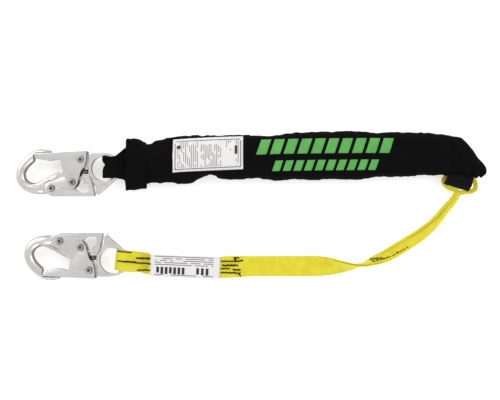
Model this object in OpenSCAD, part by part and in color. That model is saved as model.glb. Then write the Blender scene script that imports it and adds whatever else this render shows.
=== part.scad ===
// Shock absorbing lanyard: two double-locking snap hooks, a fabric-covered tear
// pack between them and a single leg of flat webbing, laid out on a flat surface.
// Millimetres, +Z up. The origin is the middle of the footprint, at the surface.

/* [Snap hooks] */

// radius of the hole in the hook's eye
eye_r = 15.7; // [15.2:0.1:16.2]
// thickness of the eye lug
lug_t = 7.8; // [7:0.1:8]
// thickness of the flat web that carries the rivets
web_t = 7.2; // [6:0.1:7.4]
// diameter of the round bow
bow_d = 13.2; // [12:0.1:14]
// thickness of the pressed plate of gate and lock lever
plate_t = 1.6; // [1.2:0.1:1.7]
// diameter of the gate's pivot rivet
gate_rivet_d = 6; // [5:0.5:7]
// diameter of the lever's pivot rivet
lever_rivet_d = 5; // [4:0.5:6]
// diameter of the pin that locks the gate to the lever
lock_pin_d = 5; // [4:0.5:5]
// diameter of the rivets' heads
rivet_head_d = 8.8; // [8:0.1:9.4]
// how far the gate turns inwards, in degrees
gate_open = 22; // [15:1:22]
// how far the lever turns while the gate opens, in degrees
lever_squeeze = 8; // [6:0.5:8]

/* [Webbing] */

// width of the webbing
web_w = 25.4; // [24:0.1:25.4]
// thickness of one ply of the leg's webbing
ply_t = 2.2; // [1.8:0.1:2.3]
// width of the black end loop
end_loop_w = 27.5; // [25:0.5:28]

/* [Pack] */

// thickness of the cover's fabric
cover_t = 1.3; // [1:0.1:1.5]
// width of the folded tear webbing
tear_w = 36; // [30:1:38]
// thickness of one fold of the tear webbing
tear_t = 2; // [1.6:0.1:2]
// width of the folded back-up webbing
backup_w = 30; // [25:1:30]

/* [Labels] */

// length of the cover's sewn label
label_l = 90; // [80:1:94]
// width of the cover's sewn label
label_w = 42; // [36:1:43]
// length of the leg's wrapped label
leg_label_l = 88; // [80:1:90]

/* [Hidden] */

$fn = 48;
steel = [0.80, 0.81, 0.82];
spring_steel = [0.18, 0.18, 0.19];
black_cloth = [0.04, 0.04, 0.045];
grey_web = [0.55, 0.56, 0.58];
yellow_web = [0.93, 0.86, 0.10];
label_white = [0.93, 0.93, 0.91];
print_green = [0.35, 0.72, 0.32];
thread_black = [0.03, 0.03, 0.03];

// Where each hook lies: centre of its eye, and the height of its middle plane.
hook_a_at = [-184.5, 47.9];
hook_b_at = [-174.1, -68.4];
mid_z = 10.3;
// The hook's own points, from the eye's centre: gate pivot, lock pin, lever pivot.
gate_pivot = [-28.5, 11.4];
lock_pin_at = [-39.3, -17.2];
lever_pivot = [-65.9, -24.9];
// The strap bears on the eye's far side, this far from the eye's centre.
strap_x = 15.2;
// Layers out from the middle plane: lever plates, gate plates, rivet heads.
lever_in = 4.05;
gate_in = 6.2;
gate_out = gate_in + plate_t;
lever_out = lever_in + plate_t;
head_in = gate_out + 0.12;
head_out = 10.3;
pivot_gap = 0.05;
pin_gap = 0.5;
// The loops round the eyes.
loop_in_r = 7.4;
// The cover's cross-section is a rounded box: the power of its superellipse.
cover_power = 2.6;

// ---- shared shapes ----

// A closed solid through rings of equal numbers of points.
module skin(rings) {
  n = len(rings[0]);
  m = len(rings);
  side = [for (j = [0:m - 2]) for (i = [0:n - 1]) each [
    [j * n + i, (j + 1) * n + i, (j + 1) * n + (i + 1) % n],
    [j * n + i, (j + 1) * n + (i + 1) % n, j * n + (i + 1) % n]]];
  first = [for (i = [0:n - 1]) i];
  last = [for (i = [n - 1:-1:0]) (m - 1) * n + i];
  polyhedron([for (r = rings) each r], concat([first], side, [last]), convexity = 8);
}

// Rows of numbers made smooth: each gap becomes steps, along a Catmull-Rom curve.
function smooth_row(a, b, c, d, t) =
  0.5 * ((2 * b) + (c - a) * t + (2 * a - 5 * b + 4 * c - d) * t * t
         + (3 * b - a - 3 * c + d) * t * t * t);
function smooth(rows, steps) = concat(
  [for (i = [0:len(rows) - 2]) for (s = [0:steps - 1])
    smooth_row(rows[max(i - 1, 0)], rows[i], rows[i + 1],
               rows[min(i + 2, len(rows) - 1)], s / steps)],
  [rows[len(rows) - 1]]);

function unit(v) = v / norm(v);
function xyz(row) = [row[0], row[1], row[2]];
function along(rows, i) =
  unit(xyz(rows[min(i + 1, len(rows) - 1)]) - xyz(rows[max(i - 1, 0)]));
// The direction across a strap: level and square to its run, then rolled.
function across(t, roll) =
  let (flat = unit([-t[1], t[0], 0]), up = cross(t, flat))
  flat * cos(roll) + up * sin(roll);

// A flat strap with trimmed corners. Each row: x, y, z, width, thickness, roll.
function strap_ring(row, t) =
  let (s = across(t, row[5]), u = cross(t, s), w = row[3] / 2, h = row[4] / 2,
       c = min(h, w) * 0.45)
  [for (q = [[w, -h + c], [w, h - c], [w - c, h], [-w + c, h], [-w, h - c],
             [-w, -h + c], [-w + c, -h], [w - c, -h]])
    xyz(row) + s * q[0] + u * q[1]];
module strap(rows) {
  skin([for (i = [0:len(rows) - 1]) strap_ring(rows[i], along(rows, i))]);
}

// A rod in the hook's plane. Each row: x, y, half width in plan, half thickness.
module rod(rows, sides) {
  p = [for (r = rows) [r[0], r[1], 0]];
  skin([for (i = [0:len(rows) - 1])
    let (t = along(p, i), s = [-t[1], t[0], 0])
    [for (k = [0:sides - 1]) p[i] + s * rows[i][2] * cos(360 * k / sides)
      + [0, 0, rows[i][3] * sin(360 * k / sides)]]]);
}

// A coil spring along +X from x = 0, with both ends closed.
module coil(length, radius, wire, turns) {
  steps = 10;
  count = turns * steps;
  lead = length - 2 * wire;
  wound = [for (i = [0:count])
    let (a = 360 * i / steps, e = min(max((i - steps / 2) / (count - steps), 0), 1))
    [wire + lead * e, radius * cos(a), radius * sin(a)]];
  skin([for (i = [0:count])
    let (t = along(wound, i), s = unit([0, wound[i][1], wound[i][2]]), u = cross(t, s))
    [for (k = [0:7]) wound[i] + (s * cos(45 * k) + u * sin(45 * k)) * wire / 2]]);
}

module slab(from, to) {
  translate([0, 0, from])
    linear_extrude(to - from)
      children();
}
// The same slab on both sides of the middle plane.
module both_sides(from, to) {
  slab(from, to)
    children();
  slab(-to, -from)
    children();
}
module hole(at, r) {
  translate([at[0], at[1], -20])
    cylinder(h = 40, r = r);
}
function turned(p, about, a) =
  let (d = p - about)
  about + [d[0] * cos(a) - d[1] * sin(a), d[0] * sin(a) + d[1] * cos(a)];

// ---- snap hook, from the centre of its eye, gate towards +Y ----

module hook_body() {
  bow = smooth([
    [-69, -26.5, 5.2, 3.4], [-74.8, -26.2, 5.7, 3.8], [-80, -25.9, 6.2, 5.8],
    [-88, -25.2, 6.6, 6.6],
    [-98, -21.8, 6.7, 6.6], [-104.4, -14.5, 6.6, 6.6], [-105.5, -6, 6.5, 6.6],
    [-102.6, 2, 6.5, 6.6], [-97, 9, 6.6, 6.6], [-90, 14.8, 6.6, 6.5],
    [-82, 18.6, 6.2, 6.2], [-74, 19.9, 4.6, 5.9], [-68, 20, 3.2, 5.4],
    [-65.6, 20, 1.4, 4.4]], 2);
  rim = smooth([
    [-94, -22.5, 3.4, 6.4], [-84, -20.2, 2.7, 6.2], [-74, -15.8, 2.6, 5.7],
    [-64, -9.9, 2.5, 5.0], [-56.5, -5.6, 1.9, 4.2]], 2);
  seat_r = 59.3;
  color(steel)
    difference() {
      union() {
        rod([for (r = bow) [r[0], r[1], r[2] * bow_d / 13.2, r[3] * bow_d / 13.2]], 16);
        rod(rim, 12);
        slab(-web_t / 2, web_t / 2)
          polygon([
            [-84, -20], [-69, -12.5], [-60, -7], [-54, -3.4], [-48.5, 1], [-44.5, 6],
            [-40.5, 11.5], [-35.5, 16.6], [-29.5, 19.2], [-16, 19.2], [-10, 14],
            [-13, -4], [-9.8, -20], [-11.4, -20.6], [-14.2, -18.6], [-24.7, -18.6],
            [-24.7, -13.8], [-43, -13.8], [-43, -24], [-52, -24], [-60, -30.6],
            [-74, -31.4], [-86, -29]]);
        slab(-lug_t / 2, lug_t / 2)
          polygon(concat(
            [for (a = [-40:8:88]) 20.3 * [cos(a), sin(a)]],
            [[0, 20.5], [-15.5, 20.5], [-18.2, 19.2], [-18.8, 16], [-19.0, -7.6],
             [-14.8, -12], [-12.8, -17], [-9.8, -23], [-9.4, -31.5], [-7.4, -33.4]]));
      }
      hole([0, 0], eye_r);
      hole(gate_pivot, gate_rivet_d / 2 + pivot_gap);
      hole(lever_pivot, lever_rivet_d / 2 + pivot_gap);
      // the gate tip's seat: a round sweep under the nose
      intersection() {
        hole(gate_pivot, seat_r);
        slab(-20, 20)
          polygon([[-100, 19.3], [-60, 20.9], [-60, 2], [-100, 2]]);
      }
      // the window that the gate's spring sits in
      translate([-36, -8.8, -10])
        cube([16.2, 10, 20]);
    }
}

// the gate's outline in plan: its tip, long arm, pivot and ear
module gate_outline() {
  polygon([
    [-86.7, 18.9], [-86.4, 14.5], [-84.3, 12.2], [-69.7, 9.8], [-60, 11.4], [-55.6, 12.0],
    [-53.4, 9], [-52, 2], [-49.8, -7], [-47.5, -13.8], [-45.2, -20], [-42.4, -24],
    [-39, -25.2], [-35.6, -23.4], [-32.6, -18.8], [-30.6, -11.5], [-28.2, -3.5],
    [-23.4, 3], [-21.6, 10.5], [-20.9, 22.2]]);
}
module hook_gate() {
  back_t = 1.7;
  color(steel)
    difference() {
      union() {
        both_sides(gate_in, gate_out)
          gate_outline();
        // the channel's back, along the outer edge
        slab(-gate_out, gate_out)
          polygon([[-86.7, 18.9], [-20.9, 22.2], [-21.0, 22.2 - back_t],
                   [-86.6, 18.9 - back_t]]);
        // the channel's closed tip
        slab(-gate_out, gate_out)
          polygon([[-86.7, 18.9], [-86.4, 14.5], [-84.3, 12.2], [-82.6, 13.4],
                   [-84.6, 15.4], [-84.9, 18.6]]);
        // the tab that the gate's spring pushes on
        slab(-gate_out, gate_out)
          polygon([[-34.4, -7], [-32.7, -7], [-32.7, 0.4], [-34.4, 0.4]]);
      }
      hole(gate_pivot, gate_rivet_d / 2 + pivot_gap);
      hole(lock_pin_at, lock_pin_d / 2 + 0.02);
    }
}

// The lock pin's way through the lever's plate while gate and lever turn together.
function pin_in_lever(f) = turned(
  turned(lock_pin_at, gate_pivot, gate_open * f), lever_pivot, -lever_squeeze * f);
module lever_slot() {
  r = lock_pin_d / 2 + pin_gap;
  steps = 6;
  far = [for (i = [0:steps]) pin_in_lever(i * 1.25 / steps)];
  run = unit(far[steps] - far[0]);
  side = [-run[1], run[0]] * r;
  translate(lock_pin_at)
    circle(r = r);
  polygon(concat([for (p = far) p + side],
                 [for (i = [steps:-1:0]) far[i] - side]));
}
module hook_lever() {
  boss_r = 8.4;
  color(steel)
    difference() {
      union() {
        both_sides(lever_in, lever_out)
          difference() {
            union() {
              translate(lever_pivot)
                circle(r = boss_r);
              polygon([
                [-69.5, -17.6], [-62, -15.4], [-56, -12.6], [-52, -10.8], [-48, -10.6],
                [-36, -11.4], [-33.2, -12.8], [-32.6, -16.2], [-33.6, -17.6],
                [-36.8, -20.6], [-37.4, -24.6], [-34.8, -27.8], [-30.6, -29.6], [-26, -30.2],
                [-20.6, -29.8], [-19.2, -28], [-19.2, -19.6], [-21.6, -13.8], [-21.8, -10.8],
                [-20.2, -9], [-18.2, -9.4], [-16, -12.8], [-14.6, -18], [-13, -26],
                [-11.8, -30.4], [-11.8, -35], [-65, -35], [-70.4, -32]]);
            }
            lever_slot();
          }
        // the channel's back, where the thumb squeezes, and its turned-up end
        slab(-lever_out, lever_out)
          polygon([[-65, -35], [-11.8, -35], [-11.8, -30.6], [-13, -26.8], [-14.6, -26.8],
                   [-13.4, -31.4], [-13.4, -33.4], [-65, -33.4]]);
      }
      hole(lever_pivot, lever_rivet_d / 2 + pivot_gap);
    }
}

// A rivet with two dimpled heads. It reaches from -out to out, and its heads
// start beyond the plates at seat.
module rivet(r, seat, out, head_r) {
  color(steel)
    rotate_extrude()
      polygon([
        [0, -out + 1.1], [1.7, -out + 0.9], [2.6, -out], [head_r - 0.9, -out],
        [head_r, -out + 1], [head_r, -seat], [r, -seat], [r, seat], [head_r, seat],
        [head_r, out - 1], [head_r - 0.9, out], [2.6, out], [1.7, out - 0.9],
        [0, out - 1.1]]);
}
module hook_gate_rivet() {
  translate(gate_pivot)
    rivet(gate_rivet_d / 2, head_in, head_out, rivet_head_d / 2);
}
module hook_lever_rivet() {
  translate(lever_pivot)
    rivet(lever_rivet_d / 2, lever_out + 0.12, lever_out + 2.4, rivet_head_d / 2);
}
module hook_lock_pin() {
  translate(lock_pin_at)
    rivet(lock_pin_d / 2, gate_out + 0.05, head_out, rivet_head_d / 2 - 0.2);
}
module hook_gate_spring() {
  color(spring_steel)
    translate([-32.4, -3.7, 0])
      coil(12.2, 2.6, 1.1, 7);
}
module hook_lever_spring() {
  color(spring_steel)
    translate([-47.6, -33.2, 0])
      rotate(90)
        coil(9.0, 2.6, 0.8, 4);
}

// Brings the middle of the footprint to the origin.
module laid() {
  translate([1.8, -0.7, 0])
    children();
}
// Hook A lies gate up in plan; hook B is the same hook turned over.
module at_a() {
  translate([hook_a_at[0], hook_a_at[1], mid_z])
    children();
}
module at_b() {
  translate([hook_b_at[0], hook_b_at[1], mid_z])
    rotate([180, 0, 0])
      children();
}

// ---- loops of webbing in the hooks' eyes ----

// Where a line from p touches a circle round the origin, on its upper or lower side.
function touch(r, p, side) =
  let (a = atan2(p[1], p[0]) + side * acos(r / norm(p)))
  r * [cos(a), sin(a)];
// A loop seen from its edge, x along the strap: round at x = 0, and flat where its
// plies meet, between heights low and high at x = meet. One that is joined to a
// faceted strap is faceted as well.
module loop_edge(inner, outer, meet, low, high, faceted = false) {
  tip = [meet - 3, (low + high) / 2];
  module disc(r) {
    if (faceted)
      polygon([for (a = [0:7.5:359]) r * [cos(a), sin(a)]]);
    else
      circle(r = r);
  }
  difference() {
    union() {
      disc(outer);
      polygon([[0, 0], touch(outer, [meet, high], 1), [meet, high], [meet + 1, high],
               [meet + 1, low], [meet, low], touch(outer, [meet, low], -1)]);
    }
    disc(inner);
    polygon([[0, 0], touch(inner, tip, 1), tip, touch(inner, tip, -1)]);
  }
}
// Turns a shape drawn as (x, height) into a strap of width w round the Y axis.
module edge_on(w) {
  rotate([90, 0, 0])
    linear_extrude(w, center = true)
      children();
}

module loop_a_webbing() {
  tail = 48;
  color(black_cloth)
    at_a()
      translate([strap_x, 0, 0])
        edge_on(web_w - 0.4)
          union() {
            loop_edge(loop_in_r, loop_in_r + 1.4, 20, -1.5, 1.5);
            translate([20, -1.5])
              square([tail - 20, 3]);
          }
}

module loop_a_sleeve() {
  inner = loop_in_r + 1.6;
  outer = inner + 1.1;
  color(black_cloth)
    at_a()
      difference() {
        union() {
          translate([strap_x, 0, 0])
            edge_on(web_w + 0.2)
              hull() {
                circle(r = outer);
                translate([-7.4, 0])
                  circle(r = 9.6);
                translate([9, -9.4])
                  square([1, 18.8]);
              }
          // the sleeve spreads to go into the collar
          strap(smooth([
            [strap_x + 8.6, 0, 0, web_w, 19, 0], [strap_x + 12.4, 1.5, 2.0, 31, 15.4, 0],
            [strap_x + 16.5, 2.6, 1.8, 40, 15.6, 0], [strap_x + 20.4, 3, 2.4, 43, 14, 0]], 2));
        }
        translate([strap_x, 0, 0])
          edge_on(60)
            hull() {
              circle(r = inner);
              translate([19, -2.2])
                square([6, 4.4]);
            }
        // the dip between the bunched folds
        translate([strap_x - 18.6, 1.5, -20])
          cylinder(h = 40, r = 3);
      }
}

// ---- pack ----

// The middle of the eye of the black end loop, and the way the loop is turned.
end_eye = [264.5, 32.9, 12];
end_turn = -14;
// The cover's sections: x, y, heading in degrees, half width, middle height, half
// height. It lies nearly straight and then folds down to the end loop.
cover_rows = [
  [-147, 53.0, 4, 27.5, 12.5, 10.2], [-136, 54.3, 4, 27.8, 12.7, 10.3],
  [-128.4, 55.2, 4, 28.2, 12.9, 10.6], [-120, 56.1, 4, 28.9, 13.8, 13.0],
  [-110, 57.1, 4, 29.2, 14.2, 14.0],
  [-85, 59.0, 3, 29.6, 14.8, 14.7], [-50, 60.8, 2.5, 29.2, 15, 14.9],
  [-10, 62.4, 2, 29.4, 15, 14.9], [40, 63.8, 1.2, 29.8, 15, 14.9],
  [90, 64.6, 0.6, 30, 15, 14.9], [140, 65.0, 0.2, 29.6, 15, 14.9],
  [190, 65.0, -0.5, 28.2, 14.9, 14.8], [225, 64.8, -1, 26.6, 14.6, 14.4],
  [240, 64.6, -3, 26.2, 14.2, 14], [251, 63.5, -10, 26, 13.8, 13.4],
  [260, 60.2, -16, 23.7, 13.2, 12.6], [268, 54.8, -20, 19.8, 12.6, 11.6],
  [275, 49.4, -26, 15.2, 12.2, 10], [282.2, 45, -30, 12, 12.2, 8.2],
  [287.9, 41.6, -32, 7.6, 12.2, 5.6], [291.2, 39.2, -35, 3, 12.2, 2.4]];

function round_box_ring(row, trim, sides) =
  let (hw = row[3] - trim, hh = row[5] - trim, e = 2 / cover_power)
  [for (k = [0:sides - 1])
    let (a = 360 * k / sides, c = cos(a), s = sin(a),
         q = hw * sign(c) * pow(abs(c), e), v = hh * sign(s) * pow(abs(s), e))
    [row[0] - q * sin(row[2]), row[1] + q * cos(row[2]), row[4] + v]];
module round_box(rows, trim, sides) {
  skin([for (r = rows) round_box_ring(r, trim, sides)]);
}

module pack_collar() {
  rows = [[-156.5, 52.6, 2, 31.6, 12.6, 12.2], [-148, 53.2, 2, 32, 12.6, 12.5],
          [-138, 53.9, 3, 31.2, 12.7, 12.5], [-129.6, 54.8, 4, 30.6, 12.9, 12.4]];
  bore = concat([rows[0] - [0.5, 0, 0, 0, 0, 0]], rows, [rows[3] + [0.5, 0, 0, 0, 0, 0]]);
  color(black_cloth)
    difference() {
      round_box(rows, 0, 24);
      round_box(bore, 1.4, 24);
    }
}

module pack_cover() {
  outer = smooth(cover_rows, 2);
  last_inside = len(cover_rows) - 2;
  inside = smooth([for (i = [0:last_inside]) cover_rows[i]], 2);
  color(black_cloth)
    difference() {
      round_box(outer, 0, 24);
      round_box(concat([inside[0] - [0.6, 0, 0, 0, 0, 0]], inside), cover_t, 24);
      // the slot that the end loop comes out of
      translate([end_eye[0], end_eye[1], 3])
        rotate(end_turn)
          translate([-26, -14, 0])
            cube([49, 24, 18.2]);
    }
}

// Webbing laid in level folds, one over the other, seen from its edge.
module folds(from, to, base, t, gap, count) {
  pitch = t + gap;
  for (i = [0:count - 1])
    translate([from, base + i * pitch])
      square([to - from, t]);
  for (i = [0:count - 2])
    translate([i % 2 == 0 ? to - 0.01 : from + 0.01 - t, base + i * pitch])
      square([t, pitch + t]);
}
pack_turn = 1.25;
pack_mid = [55, 61.8];
module in_pack(w) {
  translate([pack_mid[0], pack_mid[1], 0])
    rotate(pack_turn)
      edge_on(w)
        translate([-pack_mid[0], 0])
          children();
}
module tear_webbing() {
  color(grey_web)
    in_pack(tear_w)
      folds(-117, 226, 4.6, tear_t, 0.4, 4);
}
module backup_webbing() {
  color(grey_web)
    in_pack(backup_w)
      folds(-98, 222, 14.4, 2, 0.4, 4);
}

// The black loop that the leg hangs on. Its tail is sewn in between the plies.
module end_loop() {
  ply = 2.2;
  inner = 7.3;
  tail = 1.5;
  color(black_cloth)
    union() {
      translate(end_eye)
        rotate(end_turn)
          rotate([90, 0, 90])
            linear_extrude(end_loop_w, center = true)
              loop_edge(inner, inner + ply, 16, -tail, tail);
      slab(end_eye[2] - tail, end_eye[2] + tail)
        polygon([[256, 49], [278, 44], [268, 56], [258, 65], [240, 71], [240, 52]]);
    }
}

// Height of the cover's top, q across from its middle line.
function cover_value(x, i) = lookup(x, [for (r = cover_rows) [r[0], r[i]]]);
function cover_top(x, q) =
  let (f = min(abs(q) / cover_value(x, 3), 0.999))
  cover_value(x, 4) + cover_value(x, 5) * pow(1 - pow(f, cover_power), 1 / cover_power);
// A thin sheet that lies on the cover, from x0 to x1 and q0 to q1 across it. Its
// ends lean by slant, its underside is lift above the cover, and t is its thickness.
module on_cover(x0, x1, q0, q1, lift, t, slant = 0) {
  nx = max(1, round((x1 - x0) / 15));
  nq = max(2, round((q1 - q0) / 4));
  function place(i, k, h) =
    let (q = q0 + (q1 - q0) * k / nq, x = x0 + (x1 - x0) * i / nx + slant * q)
    [x, cover_value(x, 1) + q, cover_top(x, q) + h];
  function at(i, k, h) = (i * (nq + 1) + k) * 2 + h;
  points = [for (i = [0:nx]) for (k = [0:nq]) for (h = [0, t]) place(i, k, lift + h)];
  faces = [
    for (i = [0:nx - 1]) for (k = [0:nq - 1]) each [
      [at(i, k, 1), at(i, k + 1, 1), at(i + 1, k + 1, 1)],
      [at(i, k, 1), at(i + 1, k + 1, 1), at(i + 1, k, 1)],
      [at(i, k, 0), at(i + 1, k + 1, 0), at(i, k + 1, 0)],
      [at(i, k, 0), at(i + 1, k, 0), at(i + 1, k + 1, 0)]],
    for (i = [0:nx - 1]) each [
      [at(i, 0, 0), at(i, 0, 1), at(i + 1, 0, 1)],
      [at(i, 0, 0), at(i + 1, 0, 1), at(i + 1, 0, 0)],
      [at(i, nq, 0), at(i + 1, nq, 1), at(i, nq, 1)],
      [at(i, nq, 0), at(i + 1, nq, 0), at(i + 1, nq, 1)]],
    for (k = [0:nq - 1]) each [
      [at(0, k, 0), at(0, k + 1, 0), at(0, k + 1, 1)],
      [at(0, k, 0), at(0, k + 1, 1), at(0, k, 1)],
      [at(nx, k, 0), at(nx, k + 1, 1), at(nx, k + 1, 0)],
      [at(nx, k, 0), at(nx, k, 1), at(nx, k + 1, 1)]]];
  polyhedron(points, faces, convexity = 6);
}

label_x = -97;
label_q = -17;
module cover_label() {
  color(label_white)
    on_cover(label_x, label_x + label_l, label_q, label_q + label_w, 0.45, 0.5);
}
module cover_label_thread() {
  edge = 3.2;
  row = 1;
  x0 = label_x + edge;
  x1 = label_x + label_l - edge;
  q0 = label_q + edge;
  q1 = label_q + label_w - edge;
  color(thread_black) {
    on_cover(x0, x1, q0, q0 + row, 1.05, 0.4);
    on_cover(x0, x1, q1 - row, q1, 1.05, 0.4);
    on_cover(x0, x0 + row, q0 + row + 0.3, q1 - row - 0.3, 1.05, 0.4);
    on_cover(x1 - row, x1, q0 + row + 0.3, q1 - row - 0.3, 1.05, 0.4);
  }
}
// Two rows of leaning blocks of green transfer film, with no lettering.
module cover_print() {
  slant = 0.35;
  color(print_green) {
    for (i = [0:9])
      on_cover(10 + i * 17.2, 10 + i * 17.2 + 12.6, 1.5, 20, 0.3, 0.3, slant);
    for (i = [0:9])
      on_cover(30 + i * 13.2, 30 + i * 13.2 + 9.4, -20, -6, 0.3, 0.3, slant);
  }
}

// ---- leg ----

leg_z = 3.2;
leg_t = 2 * ply_t;
// The doubled strap's run from the hook's loop to the neck of its far eye:
// x, y, z, width, thickness, roll.
leg_rows = [
  [-138, -69.4, leg_z, web_w - 3, leg_t - 0.3, 0], [-133, -70.6, leg_z, web_w, leg_t, 0],
  [-126, -73.9, leg_z, web_w, leg_t, 0],
  [-80, -76.5, leg_z, web_w, leg_t, 0], [-38, -78.0, leg_z, web_w, leg_t, 0],
  [0, -76.6, leg_z, web_w, leg_t, 0], [40, -76, leg_z, web_w, leg_t, 0],
  [80, -75.9, leg_z, web_w, leg_t, 0], [104, -75.6, 4.8, web_w, leg_t, 10],
  [122, -75.4, 9.3, web_w, leg_t, 38], [135, -75.2, 13.2, web_w, leg_t, 72],
  [146, -73.6, 14.2, web_w, leg_t, 94], [158, -68, 13.6, web_w, leg_t, 110],
  [175, -59.6, 12.8, web_w, leg_t, 120], [194, -47.8, 12.4, web_w, leg_t, 124],
  [219, -32, 12.2, web_w, leg_t, 125], [237, -17.4, 12, 23, 5, 127],
  [247.5, -4.6, 12, 19, 6.2, 142], [256, 6.5, 12, 14.5, 7.4, 165],
  [260.5, 13, 12, 12, 8, 178]];
// The eye at the neck: its strands are bunched.
eye_rows = [
  [258.5, 10.5, 12.1, 4.5, 5, 0], [257.5, 17, 12.1, 6.2, 6.4, 0],
  [249.6, 21.6, 12.1, 6.6, 6.8, 0], [244.2, 27.6, 12.1, 6.6, 6.8, 0],
  [246, 34.8, 12.1, 6.6, 6.8, 0], [255, 35.3, 12.1, 6.6, 6.8, 0],
  [264.5, 32.9, 12.1, 6.6, 6.8, 0], [274, 30.5, 12.1, 6.6, 6.8, 0],
  [282, 27.6, 12.1, 6.6, 6.8, 0], [285, 21, 12.1, 6.6, 6.8, 0],
  [279.5, 14.5, 12.1, 6.6, 6.8, 0], [270, 12, 12.1, 6, 6.4, 0],
  [262.5, 9, 12.1, 4.5, 5, 0]];
leg_meet = 24;
// the plies are this much prouder where the loop's tail takes in the doubled strap
meet_grow = 0.2;

module leg_webbing() {
  color(yellow_web)
    union() {
      translate([hook_b_at[0] + strap_x, hook_b_at[1], mid_z])
        edge_on(web_w)
          loop_edge(loop_in_r, loop_in_r + ply_t - 0.2, leg_meet,
                    leg_z - mid_z - ply_t - meet_grow, leg_z - mid_z + ply_t + meet_grow,
                    faceted = true);
      strap(smooth(leg_rows, 2));
      strap(smooth(eye_rows, 2));
    }
}

// The printed label is one wrap of thin film round both plies.
module leg_label() {
  film = 0.4;
  room = 0.3;
  side_room = 1.7;
  color(label_white)
    translate([-82.7, -76.4, leg_z])
      rotate([90, 0, 90 - 2.2])
        linear_extrude(leg_label_l, center = true)
          difference() {
            square([web_w + 2 * (side_room + film), leg_t + 2 * (room + film)], center = true);
            square([web_w + 2 * side_room, leg_t + 2 * room], center = true);
          }
}

// One dash of thick thread on the flat of the leg.
module dash(x, y, l, turn) {
  translate([x, y, leg_z + ply_t + 0.05])
    rotate(turn)
      translate([0, -0.6, 0])
        cube([l, 1.2, 0.7]);
}
module leg_hook_stitches() {
  // three runs along the strap next to the hook, and rows across at the plies' end
  run_l = 2.6;
  gap = 0.8;
  color(thread_black) {
    for (q = [-8.5, 0, 8.5], i = [0:1])
      dash(-133.4 + i * (run_l + gap), -72.2 + q - i * 0.9, run_l, -14);
    for (k = [0:4], i = [0:3])
      dash(-35 + i * (4 + gap), -77.7 - 9 + k * 4.5 + i * 0.25, 4, 2);
  }
}
// Threads across the doubled strap where it is folded on itself, near the pack.
module leg_pack_stitches() {
  rows = smooth(leg_rows, 4);
  first = 46;
  color(thread_black)
    for (i = [first:first + 9])
      let (r = rows[i], t = along(rows, i), s = across(t, r[5]), u = cross(t, s),
           side = u[2] > 0 ? 1 : -1, n = u * side)
        for (q = [-6.5, 3])
          multmatrix([
            [t[0], s[0], n[0], r[0]], [t[1], s[1], n[1], r[1]], [t[2], s[2], n[2], r[2]],
            [0, 0, 0, 1]])
            translate([-1.3, q, r[4] / 2 + 0.1])
              cube([2.6, 3.4, 0.6]);
}

laid() at_a() hook_body();  // hook_a_body
laid() at_a() hook_gate();  // hook_a_gate
laid() at_a() hook_lever();  // hook_a_lever
laid() at_a() hook_gate_rivet();  // hook_a_gate_rivet
laid() at_a() hook_lever_rivet();  // hook_a_lever_rivet
laid() at_a() hook_lock_pin();  // hook_a_lock_pin
laid() at_a() hook_gate_spring();  // hook_a_gate_spring
laid() at_a() hook_lever_spring();  // hook_a_lever_spring
laid() at_b() hook_body();  // hook_b_body
laid() at_b() hook_gate();  // hook_b_gate
laid() at_b() hook_lever();  // hook_b_lever
laid() at_b() hook_gate_rivet();  // hook_b_gate_rivet
laid() at_b() hook_lever_rivet();  // hook_b_lever_rivet
laid() at_b() hook_lock_pin();  // hook_b_lock_pin
laid() at_b() hook_gate_spring();  // hook_b_gate_spring
laid() at_b() hook_lever_spring();  // hook_b_lever_spring
laid() loop_a_webbing();
laid() loop_a_sleeve();
laid() pack_collar();
laid() pack_cover();
laid() tear_webbing();
laid() backup_webbing();
laid() end_loop();
laid() cover_label();
laid() cover_label_thread();
laid() cover_print();
laid() leg_webbing();
laid() leg_label();
laid() leg_hook_stitches();
laid() leg_pack_stitches();
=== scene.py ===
import math
import random
from functools import partial

import bmesh
import bpy
import numpy as np
from mathutils import Matrix, Vector, noise
from mathutils.bvhtree import BVHTree


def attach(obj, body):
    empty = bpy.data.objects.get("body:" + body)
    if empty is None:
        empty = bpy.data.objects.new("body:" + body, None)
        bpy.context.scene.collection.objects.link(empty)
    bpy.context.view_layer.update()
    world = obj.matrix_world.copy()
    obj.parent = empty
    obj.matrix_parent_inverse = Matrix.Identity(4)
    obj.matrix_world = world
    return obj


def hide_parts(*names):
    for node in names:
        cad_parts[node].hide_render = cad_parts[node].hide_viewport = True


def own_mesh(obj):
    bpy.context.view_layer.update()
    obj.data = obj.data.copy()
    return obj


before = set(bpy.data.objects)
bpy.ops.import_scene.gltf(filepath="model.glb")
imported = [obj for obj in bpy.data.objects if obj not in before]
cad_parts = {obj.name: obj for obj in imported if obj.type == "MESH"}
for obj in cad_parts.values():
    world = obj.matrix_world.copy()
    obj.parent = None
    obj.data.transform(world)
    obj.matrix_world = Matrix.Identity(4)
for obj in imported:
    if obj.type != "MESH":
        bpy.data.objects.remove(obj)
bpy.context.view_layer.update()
MM = 0.001


# ---- where the lanyard is looked at from ----
# It lies on a pale table and is looked at from straight above, from just under a
# metre up, so the hooks lean outwards a little.

EYE_AT = (1.8 * MM, 7.6 * MM, 950 * MM)
TABLE_SEEN = 640 * MM
SENSOR = 36.0


def added(name, data):
    """Puts a new object with this mesh, lamp or camera in the scene."""
    obj = bpy.data.objects.new(name, data)
    bpy.context.scene.collection.objects.link(obj)
    return obj


camera = added("camera", bpy.data.cameras.new("camera"))
camera.data.sensor_width = SENSOR
camera.data.lens = SENSOR * EYE_AT[2] / TABLE_SEEN
camera.location = EYE_AT
bpy.context.scene.camera = camera


# ---- leg strap ----
# The leg is one length of 25.4 mm yellow polyester webbing, doubled and sewn. It
# runs flat from the hook, turns on edge and then folds along its middle up to the
# sewn eye that hangs in the pack's end loop.

WEB_W = 25.4
PLY = 2.0
LEG_T = 4.4
LEG_Z = 3.2
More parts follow.
